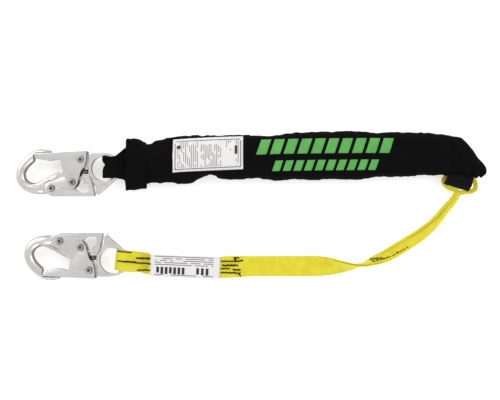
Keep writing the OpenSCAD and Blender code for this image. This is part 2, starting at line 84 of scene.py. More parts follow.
# lines are given in millimetres from the layout's middle, which is here in the frame
LAID = np.array([1.8, -0.7, 0.0])

# x, y, height, seen width, thickness of both plies, roll, drop of the edges, depth of
# the fold's groove
LEG_ROWS = [
    (-142, -70.6, LEG_Z, WEB_W, LEG_T, 0, 0, 0), (-134, -71.9, LEG_Z, WEB_W, LEG_T, 0, 0, 0),
    (-126, -73.9, LEG_Z, WEB_W, LEG_T, 0, 0, 0),
    (-80, -76.5, LEG_Z, WEB_W, LEG_T, 0, 0, 0), (-42, -77.6, LEG_Z, 26.4, LEG_T, 0, 0, 0),
    (-30, -77.1, LEG_Z, 27.4, LEG_T, 0, 0, 0), (-12, -76.6, LEG_Z, 26.8, LEG_T, 0, 0, 0),
    (5, -76.1, LEG_Z, WEB_W, LEG_T, 0, 0, 0), (40, -76, LEG_Z, WEB_W, LEG_T, 0, 0, 0),
    (78, -75.9, 3.4, WEB_W, LEG_T, 3, 0, 0), (92, -75.6, 5.8, WEB_W, LEG_T, 17, 0.3, 0),
    (104, -75.3, 9.0, 25, LEG_T, 34, 0.5, 0), (117, -75.1, 12.2, 24.6, LEG_T, 54, 1, 0),
    (131, -74.6, 14.0, 24, LEG_T, 73, 1, 0), (144.5, -72.0, 14.2, 22, LEG_T, 90, 1.2, 0.3),
    (152, -68.6, 13.8, 20.5, LEG_T, 103, 1.6, 0.5), (160, -65.2, 13.4, 19, LEG_T, 116, 2, 0.9),
    (174, -59.3, 12.9, 17.8, LEG_T, 134, 2.4, 2.2), (194, -47.8, 12.4, 16.6, LEG_T, 150, 3.3, 2.9),
    (219, -32, 12.2, 14.8, LEG_T, 164, 5.5, 3.2), (237, -17.4, 12, 12.6, 4.6, 175, 8, 3.0),
    (247.5, -5.2, 12, 10.6, 4.8, 180, 7, 2.6), (255.5, 4.8, 12, 9.4, 5, 180, 4, 1.6),
    (260, 11.8, 12, 8.4, 5, 180, 2, 1.2), (263.2, 18.4, 12, 7.4, 5, 180, 1, 1.0)]
# The sewn eye's strands are bunched into pleats: x, y, height, seen width, pleat.
EYE_ROWS = [
    (263.6, 17.4, 12.1, 5, 0.3), (258.6, 21, 12.1, 5.6, 0.5), (252, 23.6, 12.1, 5.8, 0.6),
    (245.4, 28.8, 12.1, 5.6, 0.6), (245.2, 35.2, 12.1, 5.4, 0.6), (252.6, 36.9, 12.1, 5.4, 0.6),
    (262.5, 34.8, 12.1, 5.4, 0.6), (273, 34.4, 12.1, 5.4, 0.6), (281.4, 35, 12.1, 5.4, 0.6),
    (284.8, 29.5, 12.1, 5.4, 0.6), (284.2, 22, 12.1, 5.8, 0.6), (277, 18.7, 12.1, 6, 0.6),
    (269.5, 18.2, 12.1, 5.8, 0.6), (263.9, 16.4, 12.1, 5, 0.3)]
HOOK_B_AXIS = np.array([-159.5, -68.4, 10.3])
HOOK_B_TURN = -6.5


def smooth(rows, steps):
    """Rows of numbers along a Catmull-Rom curve, with each gap cut into steps."""
    rows = np.asarray(rows, dtype=float)
    last = len(rows) - 1
    made = []
    for i in range(last):
        a, b, c, d = (rows[min(max(k, 0), last)] for k in (i - 1, i, i + 1, i + 2))
        for s in range(steps):
            t = s / steps
            made.append(0.5 * (2 * b + (c - a) * t + (2 * a - 5 * b + 4 * c - d) * t * t
                               + (3 * b - a - 3 * c + d) * t ** 3))
    return np.array(made + [rows[last]])


def runs(points):
    """The unit direction of a line of points, at each of them."""
    steps = np.gradient(points, axis=0)
    return steps / np.linalg.norm(steps, axis=1)[:, None]


def across(run, roll):
    """The direction across a strap: level and square to its run, then rolled."""
    level = np.stack([-run[:, 1], run[:, 0], np.zeros(len(run))], axis=1)
    level /= np.linalg.norm(level, axis=1)[:, None]
    turn = np.radians(roll)[:, None]
    return level * np.cos(turn) + np.cross(run, level) * np.sin(turn)


def spun(degrees):
    """The level directions along and across something turned about the upright."""
    c, s = math.cos(math.radians(degrees)), math.sin(math.radians(degrees))
    return np.array([[c, s, 0], [-s, c, 0], [0, 0, 1]])


def tube_walls(base, rings, around):
    """The faces between rings of points that follow each other."""
    return [(base + j * around + i, base + j * around + (i + 1) % around,
             base + (j + 1) * around + (i + 1) % around, base + (j + 1) * around + i)
            for j in range(rings - 1) for i in range(around)]


def reworked(mesh, change):
    """Changes a mesh by a function of its bmesh."""
    work = bmesh.new()
    work.from_mesh(mesh)
    change(work)
    work.to_mesh(mesh)
    work.free()


def shade_smooth(obj):
    for f in obj.data.polygons:
        f.use_smooth = True


def flush(obj):
    """Turns every face outwards and shades them smooth."""
    reworked(obj.data, lambda work: bmesh.ops.recalc_face_normals(work, faces=work.faces))
    shade_smooth(obj)


def new_piece(name, points, faces, material, uv=None):
    """A piece from points in metres. uv has a pair of metres for each face's corner."""
    mesh = bpy.data.meshes.new(name)
    mesh.from_pydata([tuple(p) for p in points], [], faces)
    if uv is not None:
        layer = mesh.uv_layers.new(name="place")
        layer.data.foreach_set("uv", np.array(uv, dtype=float).ravel())
    mesh.materials.append(material)
    obj = added(name, mesh)
    flush(obj)
    return obj


# where a folded strap's groove lies and how wide it is, in halves of its width
GROOVE_AT, GROOVE_WIDE = -0.38, 0.13
PLEATS = 2.5


class Band:
    """Collects plies of webbing into one mesh, in millimetres, with its threads'
    run and its width as UV, in metres."""

    def __init__(self):
        self.points, self.faces, self.threads = [], [], []

    def ply(self, line, side, seen, cloth_w, thick, lift=0.0, drop=0.0, groove=0.0,
            pleat=0.0, cells=12):
        count = len(line)
        up = np.cross(runs(line), side)
        along = np.concatenate([[0], np.cumsum(np.linalg.norm(np.diff(line, axis=0), axis=1))])
        seen, thick, lift, drop, groove, pleat = (
            np.broadcast_to(np.asarray(v, dtype=float), (count,))[:, None]
            for v in (seen, thick, lift, drop, groove, pleat))
        q = np.linspace(-1, 1, cells + 1)
        bend = (drop * q ** 2 + groove * np.exp(-((q - GROOVE_AT) / GROOVE_WIDE) ** 2)
                + pleat * np.cos(PLEATS * math.pi * q))
        # a woven edge is a little rounder and thinner than the strap's middle
        half = thick / 2 * np.clip(1.0 - 0.55 * np.abs(q) ** 14, 0.0, 1.0)
        top, below = list(range(cells + 1)), list(range(cells, -1, -1))
        rings = np.stack([line + side * (seen / 2 * q[k])
                          + up * (lift + bend[:, k:k + 1] + sign * half[:, k:k + 1])
                          for sign, order in ((1, top), (-1, below)) for k in order], axis=1)
        n = rings.shape[1]
        base = len(self.points)
        self.points.extend(rings.reshape(-1, 3))
        self.faces += tube_walls(base, count, n)
        ways = [q[k] * cloth_w / 2 * MM for k in top + below]
        for j in range(count - 1):
            for i in range(n):
                k = (i + 1) % n
                self.threads.append([(along[a] * MM, ways[b])
                                     for a, b in ((j, i), (j, k), (j + 1, k), (j + 1, i))])
        for j in (0, count - 1):
            for k in range(cells):
                face = (base + j * n + k, base + j * n + k + 1,
                        base + j * n + n - 2 - k, base + j * n + n - 1 - k)
                self.faces.append(face if j else face[::-1])
                self.threads.append([(along[j] * MM, ways[k])] * 4)

    def piece(self, name, material):
        return new_piece(name, [p * MM for p in self.points], self.faces, material, self.threads)


def new_material(name, colour, roughness=0.8, metallic=0.0):
    made = bpy.data.materials.new(name)
    made.use_nodes = True
    made.diffuse_color = (*colour, 1)
    shader = made.node_tree.nodes["Principled BSDF"]
    shader.inputs["Base Color"].default_value = (*colour, 1)
    shader.inputs["Roughness"].default_value = roughness
    shader.inputs["Metallic"].default_value = metallic
    return made, made.node_tree.nodes, made.node_tree.links, shader


def math_node(nodes, links, kind, a, b=None):
    node = nodes.new("ShaderNodeMath")
    node.operation = kind
    for slot, value in enumerate((a, b)):
        if value is None:
            continue
        if isinstance(value, (int, float)):
            node.inputs[slot].default_value = value
        else:
            links.new(value, node.inputs[slot])
    return node.outputs[0]
def mix_node(nodes, links, factor, a, b, blend="MIX"):
    """One colour over another. Each of the three is a plain value or a socket."""
    node = nodes.new("ShaderNodeMix")
    node.data_type = "RGBA"
    node.blend_type = blend
    for label, value in (("Factor", factor), ("A", a), ("B", b)):
        if isinstance(value, tuple):
            node.inputs[label].default_value = (*value, 1)
        elif isinstance(value, float):
            node.inputs[label].default_value = value
        else:
            links.new(value, node.inputs[label])
    return node.outputs["Result"]


def noise_node(nodes, links, place, scale, detail=2.0):
    node = nodes.new("ShaderNodeTexNoise")
    node.inputs["Scale"].default_value = scale
    node.inputs["Detail"].default_value = detail
    links.new(place, node.inputs["Vector"])
    return node.outputs[0]


def bumped(nodes, links, shader, height, strength, depth):
    bump = nodes.new("ShaderNodeBump")
    bump.inputs["Strength"].default_value = strength
    bump.inputs["Distance"].default_value = depth
    links.new(height, bump.inputs["Height"])
    links.new(bump.outputs["Normal"], shader.inputs["Normal"])


def new_group(name, place, takes, gives):
    """A node group: its place input, its numbers with their usual values, and what
    it gives out. Gives the group and what is needed to fill it."""
    group = bpy.data.node_groups.new(name, "ShaderNodeTree")
    face = group.interface
    face.new_socket(place, in_out="INPUT", socket_type="NodeSocketVector")
    for label, usual in takes.items():
        socket = face.new_socket(label, in_out="INPUT", socket_type="NodeSocketFloat")
        socket.default_value = usual
    for label in gives:
        face.new_socket(label, in_out="OUTPUT", socket_type="NodeSocketFloat")
    nodes = group.nodes
    return (group, nodes, group.links, nodes.new("NodeGroupInput").outputs,
            nodes.new("NodeGroupOutput").inputs)


def placed_group(nodes, links, group, place, **values):
    """A group in a material, with a place for its first input."""
    node = nodes.new("ShaderNodeGroup")
    node.node_tree = group
    links.new(place, node.inputs[0])
    for label, value in values.items():
        node.inputs[label].default_value = value
    return node.outputs


def weave_group():
    """Threads over and under each other. Threads takes metres of run and width."""
    group, nodes, links, ins, outs = new_group(
        "weave", "Threads", {"Pitch": 0.0012, "Lean": 0.0}, ("Height", "Shade"))
    calc = partial(math_node, nodes, links)
    split = nodes.new("ShaderNodeSeparateXYZ")
    links.new(ins["Threads"], split.inputs[0])
    turn = calc("DIVIDE", 2 * math.pi, ins["Pitch"])
    run = calc("MULTIPLY", split.outputs[0], turn)
    wide = calc("MULTIPLY", split.outputs[1], turn)
    shear = calc("MULTIPLY", wide, ins["Lean"])
    over = calc("SINE", calc("ADD", run, shear))
    under = calc("SINE", wide)
    cross = calc("MULTIPLY", over, under)
    half = calc("MULTIPLY", cross, 0.5)
    links.new(calc("ADD", half, 0.5), outs["Height"])
    links.new(noise_node(nodes, links, ins["Threads"], 90.0, 5.0), outs["Shade"])
    return group


WEAVE = weave_group()


def woven(name, dark, light, pitch, depth, lean=0.0, roughness=0.85, sheen=0.2, gloss=0.25,
          uv=True):
    """Woven cloth or webbing: two thread colours, a bump for the threads, and sheen."""
    made, nodes, links, shader = new_material(name, light, roughness)
    place = nodes.new("ShaderNodeTexCoord").outputs["UV" if uv else "Object"]
    weave = placed_group(nodes, links, WEAVE, place, Pitch=pitch, Lean=lean)
    body = math_node(nodes, links, "MULTIPLY", weave["Height"], 0.55)
    shade = math_node(nodes, links, "MULTIPLY", weave["Shade"], 0.75)
    both = math_node(nodes, links, "ADD", body, shade)
    links.new(mix_node(nodes, links, both, dark, light), shader.inputs["Base Color"])
    bumped(nodes, links, shader, weave["Height"], 0.6, depth)
    shader.inputs["Sheen Weight"].default_value = sheen
    shader.inputs["Specular IOR Level"].default_value = gloss
    shader.inputs["Sheen Roughness"].default_value = 0.4
    return made


yellow_webbing = woven("yellow_webbing", (0.47, 0.38, 0.010), (0.83, 0.75, 0.036),
                       1.9 * MM, 0.25 * MM, lean=0.5, roughness=0.62, sheen=0.1)


def loop_line(axis, radius, meet, end_z, last=56, turn=0.0, slack=1.0):
    """Round a hook's eye: in along the bottom, round, and out on top. The loop is
    turned about its axis's middle, and slack draws out its far side. Gives the line
    and the direction across the webbing."""
    arc = [(radius * math.cos(a) * (slack if math.cos(a) < 0 else 1), 0, radius * math.sin(a))
           for a in (math.radians(d) for d in range(270, last - 1, -12))]
    low, high = ((meet, 0, z - axis[2]) for z in end_z)
    low_mid, high_mid = ((np.array(end) + np.array(near)) / 2
                         for end, near in ((low, arc[0]), (high, arc[-1])))
    line = np.array([low, tuple(low_mid)] + arc + [tuple(high_mid), high])
    ways = spun(turn)
    return line @ ways + axis, np.tile(ways[1], (len(line), 1))


leg_line = smooth(LEG_ROWS, 8)
leg_at = leg_line[:, :3] + LAID
# slack and handling leave the bare strap a little uneven
sway = np.array([noise.noise(Vector((p[0] * 0.018, 3.1, 0.4))) for p in leg_at])
sway *= np.clip((leg_at[:, 0] + 5) / 40, 0, 1)
leg_at[:, 2] += np.clip(sway, 0, 1) * 1.2
leg_side = across(runs(leg_at), leg_line[:, 5] + 3 * sway)
leg = Band()
for ply in (-1, 1):
    leg.ply(leg_at, leg_side, leg_line[:, 3], WEB_W, leg_line[:, 4] / 2 * 0.9,
            lift=ply * leg_line[:, 4] / 4, drop=leg_line[:, 6], groove=leg_line[:, 7], cells=24)
LOOP_B_R, LOOP_B_MEET, LOOP_B_SLACK = 8.6, 30, 1.16
hook_loop, loop_side = loop_line(HOOK_B_AXIS + LAID, LOOP_B_R, LOOP_B_MEET,
                                 (LEG_Z - 1.1, LEG_Z + 1.3), turn=HOOK_B_TURN,
                                 slack=LOOP_B_SLACK)
leg.ply(hook_loop, loop_side, WEB_W, WEB_W, PLY)
leg_strap = leg.piece("leg_strap", yellow_webbing)

eye_line = smooth(EYE_ROWS, 6)
eye_at = eye_line[:, :3] + LAID
eye = Band()
eye.ply(eye_at, across(runs(eye_at), np.zeros(len(eye_at))), eye_line[:, 3], WEB_W, PLY,
        pleat=eye_line[:, 4], cells=20)
leg_eye = eye.piece("leg_eye", yellow_webbing)

leg_path = [tuple(p * MM) for p in leg_at[::-4]]
leg_path += [(-146.5 * MM, -71.0 * MM, 6.4 * MM), (-156 * MM, -69.5 * MM, 10.0 * MM)]
leg_length = sum(math.dist(a, b) for a, b in zip(leg_path, leg_path[1:]))
for obj in (leg_strap, leg_eye):
    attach(obj, "pack")
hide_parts("leg_webbing")


# ---- the leg's wrapped label ----
# A printed film is folded round both plies and sewn along one edge. Plain bars and
# blocks stand where the real one carries its wording.

LABEL_TURN = math.radians(-2.2)
LABEL_MID = np.array([-82.7, -76.4, LEG_Z]) + LAID
LEG_LABEL_L = 89.0
FILM = 0.35
UNDERSIDE = 60  # the print on the underside is this far off in UV


def print_group():
    """Rows of short dark blocks, like small print. Place takes metres of label."""
    group, nodes, links, ins, outs = new_group("small_print", "Place", {"Row": 0.003}, ("Ink",))
    calc = partial(math_node, nodes, links)
    split = nodes.new("ShaderNodeSeparateXYZ")
    links.new(ins["Place"], split.inputs[0])
    line = calc("DIVIDE", split.outputs[1], ins["Row"])
    row_no = calc("FLOOR", line)
    in_row = calc("FRACT", line)
    upper = calc("GREATER_THAN", in_row, 0.38)
    lower = calc("LESS_THAN", in_row, 0.80)
    word = calc("DIVIDE", split.outputs[0], ins["Row"])
    word = calc("MULTIPLY", word, 0.62)
    shifted = calc("MULTIPLY", row_no, 7.31)
    word = calc("FLOOR", calc("ADD", word, shifted))
    white = nodes.new("ShaderNodeTexWhiteNoise")
    white.noise_dimensions = "2D"
    pair = nodes.new("ShaderNodeCombineXYZ")
    links.new(word, pair.inputs[0])
    links.new(row_no, pair.inputs[1])
    links.new(pair.outputs[0], white.inputs["Vector"])
    there = calc("GREATER_THAN", white.outputs[0], 0.25)
    ink = calc("MULTIPLY", upper, lower)
    links.new(calc("MULTIPLY", ink, there), outs["Ink"])
    return group


SMALL_PRINT = print_group()


def printed_film(name, base, ink, row, blocks, upright=False):
    """White film with small print, in rows along it or across it. Each block is
    (x0, x1, y0, y1, colour), in millimetres of the label's own UV, and is painted
    over the small print."""
    made, nodes, links, shader = new_material(name, base, 0.5)
    place = nodes.new("ShaderNodeTexCoord")
    turned = nodes.new("ShaderNodeMapping")
    turned.inputs["Rotation"].default_value = (0, 0, math.pi / 2 if upright else 0)
    links.new(place.outputs["UV"], turned.inputs["Vector"])
    words = placed_group(nodes, links, SMALL_PRINT, turned.outputs[0], Row=row)
    split = nodes.new("ShaderNodeSeparateXYZ")
    links.new(place.outputs["UV"], split.inputs[0])
    colour = mix_node(nodes, links, words["Ink"], base, ink)
    for x0, x1, y0, y1, paint in blocks:
        inside = None
        for way, kind, edge in ((0, "GREATER_THAN", x0), (0, "LESS_THAN", x1),
                                (1, "GREATER_THAN", y0), (1, "LESS_THAN", y1)):
            test = math_node(nodes, links, kind, split.outputs[way], edge * MM)
            inside = test if inside is None else math_node(nodes, links, "MULTIPLY", inside, test)
        colour = mix_node(nodes, links, inside, colour, paint)
    links.new(colour, shader.inputs["Base Color"])
    crinkle = noise_node(nodes, links, place.outputs["Object"], 160.0)
    bumped(nodes, links, shader, crinkle, 0.3, 0.3 * MM)
    return made


WHITE = (0.76, 0.74, 0.74)
INK = (0.16, 0.16, 0.17)
BLACK_INK = (0.02, 0.02, 0.02)
# a white patch and margins, then two groups of plain bars: where each starts and ends
BARS = [(-50, -38.5, -20, 20, WHITE), (36, 50, -20, 20, WHITE), (-40, 38, -10.7, -0.4, WHITE)]
BAR_W, BAR_TOP = 3.6, -1.4
BARS += [(x, x + BAR_W, low, BAR_TOP, BLACK_INK)
         for x, low in ((-36.4, -9.0), (-31, -10.4), (-25.6, -10.4), (-20.2, -9.5),
                        (-14.8, -10.4), (-9.4, -10.4), (-4, -10.4),
                        (14.5, -9.5), (20.5, -10.4), (26.5, -10.4))]
leg_film = printed_film("leg_label_film", WHITE, INK, 2.6 * MM, BARS)


def leg_label_mesh():
    """The wrap: a flat tube with rounded folds, a little looser at its ends."""
    half_w, half_h, corner = WEB_W / 2 + 1.3, 2.75, 1.6
    outline = []
    for cx, cy, start in ((1, 1, 0), (-1, 1, 90), (-1, -1, 180), (1, -1, 270)):
        for k in range(5):
            a = math.radians(start + 22.5 * k)
            outline.append((cx * (half_w - corner) + corner * math.cos(a),
                            cy * (half_h - corner) + corner * math.sin(a)))
    # more points across the top and bottom, so that the film can ripple
    dense = []
    for a, b in zip(outline, outline[1:] + outline[:1]):
        cuts = max(1, int(math.dist(a, b) / 2))
        dense += [(a[0] + (b[0] - a[0]) * k / cuts, a[1] + (b[1] - a[1]) * k / cuts)
                  for k in range(cuts)]
    stations = np.linspace(-LEG_LABEL_L / 2, LEG_LABEL_L / 2, 40)
    m, n = len(stations), len(dense)
    turn = Matrix.Rotation(LABEL_TURN, 3, "Z")
    points = []
    for layer in (0.0, -FILM):
        for s in stations:
            loose = 1 + 0.05 * (abs(s) / (LEG_LABEL_L / 2)) ** 6
            for w, h in dense:
                grow = 1 + layer / math.hypot(w, h)
                ripple = 0.25 * noise.noise(Vector((s * 0.08, w * 0.11, 2.0 + h)))
                p = turn @ Vector((s, w * grow, (h * loose + ripple) * grow))
                points.append((p + Vector(LABEL_MID)) * MM)

    def uv_of(j, i):
        w, h = dense[i % n]
        return (stations[j] * MM, (w if h > 0 else UNDERSIDE + w) * MM)

    faces = tube_walls(0, m, n) + tube_walls(m * n, m, n)
    uvs = [[uv_of(j, i), uv_of(j, i + 1), uv_of(j + 1, i + 1), uv_of(j + 1, i)]
           for _ in range(2) for j in range(m - 1) for i in range(n)]
    for j in (0, m - 1):
        for i in range(n):
            a, b = j * n + i, j * n + (i + 1) % n
            faces.append((a, b, m * n + b, m * n + a))
            uvs.append([uv_of(j, i)] * 4)
    return new_piece("leg_label_wrap", points, faces, leg_film, uvs)


leg_label = leg_label_mesh()
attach(leg_label, "pack")
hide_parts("leg_label")


# ---- the leg's stitching ----
# Thick black bonded thread, sewn through both plies by a pattern tacker: runs next
# to the hook, rows where the inner ply ends, and bars where the strap is folded.

HOOK_THREAD, FOLD_THREAD = 1.8, 1.5
black_thread = woven("black_thread", (0.004, 0.004, 0.004), (0.018, 0.018, 0.018),
                     0.6 * MM, 0.1 * MM, lean=1.0, roughness=0.7, sheen=0.0, gloss=0.1, uv=False)


def tube_ends(base, rings, around):
    """The two faces that close a tube."""
    return [tuple(base + k for k in range(around))[::-1],
            tuple(base + (rings - 1) * around + k for k in range(around))]


def threads(name, stitches, material, thick):
    """Each stitch is (start, end, normal) in mm: a low arched bead of thread."""
    points, faces = [], []
    sides, along = 6, 5
    for start, end, normal in stitches:
        start, end, normal = (np.asarray(v, dtype=float) for v in (start, end, normal))
        run = (end - start) / np.linalg.norm(end - start)
        side = np.cross(normal, run)
        base = len(points)
        for j in range(along):
            t = j / (along - 1)
            arch = math.sin(math.pi * t)
            centre = start + (end - start) * t + normal * (0.35 * thick * arch)
            radius = thick / 2 * (0.55 + 0.45 * arch)
            for k in range(sides):
                a = 2 * math.pi * k / sides
                points.append((centre + side * radius * math.cos(a)
                               + normal * radius * 0.8 * math.sin(a)) * MM)
        faces += tube_walls(base, along, sides) + tube_ends(base, along, sides)
    return new_piece(name, points, faces, material)


def on_top(obj, lift=0.0):
    """A function that gives the height and slope of a piece's top at a point, in mm."""
    tree = BVHTree.FromObject(obj, bpy.context.evaluated_depsgraph_get())

    def probe(x, y):
        hit, normal, _, _ = tree.ray_cast(Vector((x * MM, y * MM, 0.2)), Vector((0, 0, -1)))
        if hit is None:
            return None
        return np.array([hit.x, hit.y, hit.z]) / MM + np.array(normal) * lift, np.array(normal)

    return probe


def sewn(probe, lines):
    """Stitches laid on a surface: each line is (x0, y0, x1, y1)."""
    made = []
    for x0, y0, x1, y1 in lines:
        a, b = probe(x0, y0), probe(x1, y1)
        if a and b:
            made.append((a[0], b[0], (a[1] + b[1]) / np.linalg.norm(a[1] + b[1])))
    return made


def zigzag(x0, x1, y, fall, tall, step):
    """A crowded zigzag row from x0 to x1 that falls by fall per millimetre."""
    made, x, flip = [], x0, 1
    while x < x1:
        a = y - (x - x0) * fall + flip * tall * random.uniform(0.3, 1)
        nx = x + step * random.uniform(0.7, 1.3)
        made.append((x, a, nx, y - (nx - x0) * fall - flip * tall * random.uniform(0.3, 1)))
        x, flip = nx, -flip
    return made


random.seed(7)
leg_top = on_top(leg_strap, 0.1)
# Each seam is x0, x1, y, fall, height and step. Next to the hook they run along the
# upper edge, the middle and the lower edge.
SEAMS = [
    (-166.5, -150.5, -56.0, 0.10, 0.5, 1.8), (-143.5, -126.8, -65.2, 0.07, 1.4, 1.3),
    (-166.5, -158, -67.9, 0.12, 0.4, 2.4), (-158, -144, -68.9, 0.12, 1.4, 1.2),
    (-144, -126.8, -70.9, 0.12, 1.0, 1.4), (-143, -126.8, -80.3, 0.05, 0.5, 2.4)]
# where the inner ply ends: five rows, crowded at their far end
SEAMS += [
    (-37, -15, -69.7, 0, 0.6, 2.3), (-35.5, -16.5, -74.9, 0, 1.5, 2.0),
    (-37.3, -25.5, -79.0, 0, 0.5, 2.6), (-37.3, -31.5, -84.0, 0, 0.7, 1.4),
    (-30.5, -20, -84.4, 0, 1.2, 2.2), (-20, -14, -84.8, 0, 0.6, 2.0),
    (-21, -14.5, -65.3, 0, 0.9, 1.2), (-15, -8.7, -69.5, -0.17, 0.9, 1.2),
    (-22, -12, -80.3, 0.05, 1.1, 1.2)]
hook_rows = [stitch for row in SEAMS for stitch in zigzag(*row)]
# loose ends of thread
hook_rows += [(-19.6, -65.4, -19, -68.2), (-18.4, -66, -18.8, -70), (-14, -85.6, -12.8, -87.4),
              (-12.8, -87.4, -11.6, -89)]
hook_rows = [(a + LAID[0], b + LAID[1], c + LAID[0], d + LAID[1]) for a, b, c, d in hook_rows]
hook_stitches = threads("leg_hook_thread", sewn(leg_top, hook_rows), black_thread, HOOK_THREAD)
# where the strap is folded: small stitches along its lower edge, doubled at first
FOLD_FROM, DOUBLED_TO, FOLD_TO = 154, 168, 196
fold_rows = []
for at, across_it, wide in zip(leg_at, leg_side, leg_line[:, 3]):
    x, y = at[:2]
    if FOLD_FROM < x < FOLD_TO:
        level = np.linalg.norm(across_it[:2])
        side = across_it[:2] / level
        run = np.array([-side[1], side[0]])
        reach = level * wide / 2 - 1.9
        for q in (reach, reach - 2.2) if x < DOUBLED_TO else (reach,):
            a = np.array([x, y]) + side * q + run * random.uniform(-1, 1)
            b = a + side * random.uniform(-1.4, 0.6) + run * random.uniform(1.0, 2.0)
            fold_rows.append((a[0], a[1], b[0], b[1]))
fold_stitches = threads("leg_pack_thread", sewn(leg_top, fold_rows), black_thread, FOLD_THREAD)
for obj, node in ((hook_stitches, "leg_hook_stitches"), (fold_stitches, "leg_pack_stitches")):
    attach(obj, "pack")
    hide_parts(node)


# ---- snap hooks' forged bodies ----
# Each hook is a drop forging in zinc-plated steel: a round bow and nose, a recessed
# web for the rivets and a flat lug with the eye. The same hook lies both ways up.

def plating_group():
    """Plating that is not quite even: clouds and fine scratches."""
    group, nodes, links, ins, outs = new_group("plating", "Place", {}, ("Cloud", "Scratch"))
    links.new(noise_node(nodes, links, ins["Place"], 120.0, 6.0), outs["Cloud"])
    stretch = nodes.new("ShaderNodeMapping")
    stretch.inputs["Scale"].default_value = (60.0, 900.0, 400.0)
    stretch.inputs["Rotation"].default_value = (0, 0, 0.5)
    links.new(ins["Place"], stretch.inputs["Vector"])
    links.new(noise_node(nodes, links, stretch.outputs[0], 1.0, 4.0), outs["Scratch"])
    return group


PLATING = plating_group()


def range_node(nodes, links, value, at, to, kind="LINEAR"):
    """Maps the numbers in at onto those in to."""
    node = nodes.new("ShaderNodeMapRange")
    node.interpolation_type = kind
    for label, number in zip(("From Min", "From Max", "To Min", "To Max"), (*at, *to)):
        node.inputs[label].default_value = number
    links.new(value, node.inputs["Value"])
    return node.outputs[0]


# painted shade: how much of the colour is left on sideways walls and in rivets' dimples
WALL_PAINTED_SHADE, DIMPLE_PAINTED_SHADE = 0.30, 0.20


def plated_steel(name, dark, light, smooth_at, rough_at, bump_depth, rim=None):
    """Plated steel. Its walls, the faces that turn sideways, get painted shade: a darker
    shade of it. A rivet's dimple below its rim, which is given as its height, gets painted shade
    too."""
    made, nodes, links, shader = new_material(name, light, smooth_at, 1.0)
    place = nodes.new("ShaderNodeTexCoord").outputs
    plating = placed_group(nodes, links, PLATING, place["Object"])
    finish = mix_node(nodes, links, plating["Cloud"], dark, light)
    # painted shade on the walls that turn sideways, darker the more they turn
    facing = nodes.new("ShaderNodeSeparateXYZ")
    links.new(place["Normal"], facing.inputs[0])
    flat = math_node(nodes, links, "ABSOLUTE", facing.outputs[2])
    kept = range_node(nodes, links, flat, (0.25, 0.90), (WALL_PAINTED_SHADE, 1.0), "SMOOTHSTEP")
    finish = mix_node(nodes, links, 1.0, finish, kept, "MULTIPLY")
    # painted shade in a rivet's dimple: darker below its rim
    if rim is not None:
        height = nodes.new("ShaderNodeSeparateXYZ")
        links.new(place["Object"], height.inputs[0])
        dimple_shade = range_node(nodes, links, height.outputs[2], (rim - 0.75 * MM, rim - 0.2 * MM),
                           (DIMPLE_PAINTED_SHADE, 1.0))
        finish = mix_node(nodes, links, 1.0, finish, dimple_shade, "MULTIPLY")
    links.new(finish, shader.inputs["Base Color"])
    links.new(range_node(nodes, links, plating["Scratch"], (0.3, 0.7), (smooth_at, rough_at)),
              shader.inputs["Roughness"])
    bumped(nodes, links, shader, plating["Cloud"], 0.25, bump_depth)
    return made


forged_steel = plated_steel("forged_steel", (0.62, 0.61, 0.58), (0.84, 0.83, 0.80),
                            0.30, 0.46, 0.5 * MM)
pressed_steel = plated_steel("pressed_steel", (0.68, 0.67, 0.64), (0.82, 0.81, 0.78),
                             0.26, 0.40, 0.25 * MM)
# the rims of the gate's rivet and of the lever's stand this high over the table; below them the
# rivets' dimples get painted shade
rivet_steel, low_rivet_steel = (
    plated_steel(name, (0.55, 0.55, 0.54), (0.82, 0.82, 0.80), 0.18, 0.32, 0.1 * MM, rim=rim)
    for name, rim in (("rivet_steel", 20.6 * MM), ("low_rivet_steel", 18.35 * MM)))


def node_copy(node, name):
    """A new piece with the shape of a CAD node, its doubled points joined."""
    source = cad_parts[node]
    mesh = source.data.copy()
    mesh.transform(source.matrix_world)
    mesh.name = name
    mesh.materials.clear()
    reworked(mesh, lambda work: bmesh.ops.remove_doubles(work, verts=work.verts,
                                                         dist=0.005 * MM))
    return added(name, mesh)


def apply_modifiers(obj):
    shown = obj.evaluated_get(bpy.context.evaluated_depsgraph_get())
    made = bpy.data.meshes.new_from_object(shown)
    made.name = obj.name
    obj.modifiers.clear()
    obj.data = made


def forged(node, name):
    """The flash and sharp arrises of a forging are tumbled off: the shape is remade
    in small cells and relaxed."""
    obj = node_copy(node, name)
    remade = obj.modifiers.new("cells", "REMESH")
    remade.mode = "VOXEL"
    remade.voxel_size = 0.62 * MM
    relaxed = obj.modifiers.new("tumbled", "SMOOTH")
    relaxed.factor = 0.5
    relaxed.iterations = 7
    apply_modifiers(obj)
    obj.data.materials.append(forged_steel)
    shade_smooth(obj)
    return obj


for k in "ab":
    body = forged(f"hook_{k}_body", f"hook_{k}_forging")
    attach(body, f"hook_{k}")
    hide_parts(f"hook_{k}_body")


# ---- gates and lock levers ----
# Both are channels pressed from 1.6 mm sheet, plated like the body. Their cut edges
# are rolled over slightly by the press.

def eased(node, name, material):
    """A pressed part: flat faces joined up, and its edges rounded a little."""
    obj = node_copy(node, name)
    reworked(obj.data, lambda work: bmesh.ops.dissolve_limit(
        work, angle_limit=math.radians(2), verts=work.verts, edges=work.edges))
    ease = obj.modifiers.new("eased", "BEVEL")
    ease.width = 0.45 * MM
    ease.segments = 2
    ease.limit_method = "ANGLE"
    ease.angle_limit = math.radians(35)
    apply_modifiers(obj)
    obj.data.materials.append(material)
    shade_smooth(obj)
    obj.data.set_sharp_from_angle(angle=math.radians(28))
    return obj


for k in "ab":
    for part in ("gate", "lever"):
        plate = eased(f"hook_{k}_{part}", f"hook_{k}_{part}_pressing", pressed_steel)
        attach(plate, f"{part}_{k}")
        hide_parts(f"hook_{k}_{part}")


# ---- rivets, lock pins and springs ----
# Turned steel rivets, spun over into dimpled heads; the springs are oiled wire.

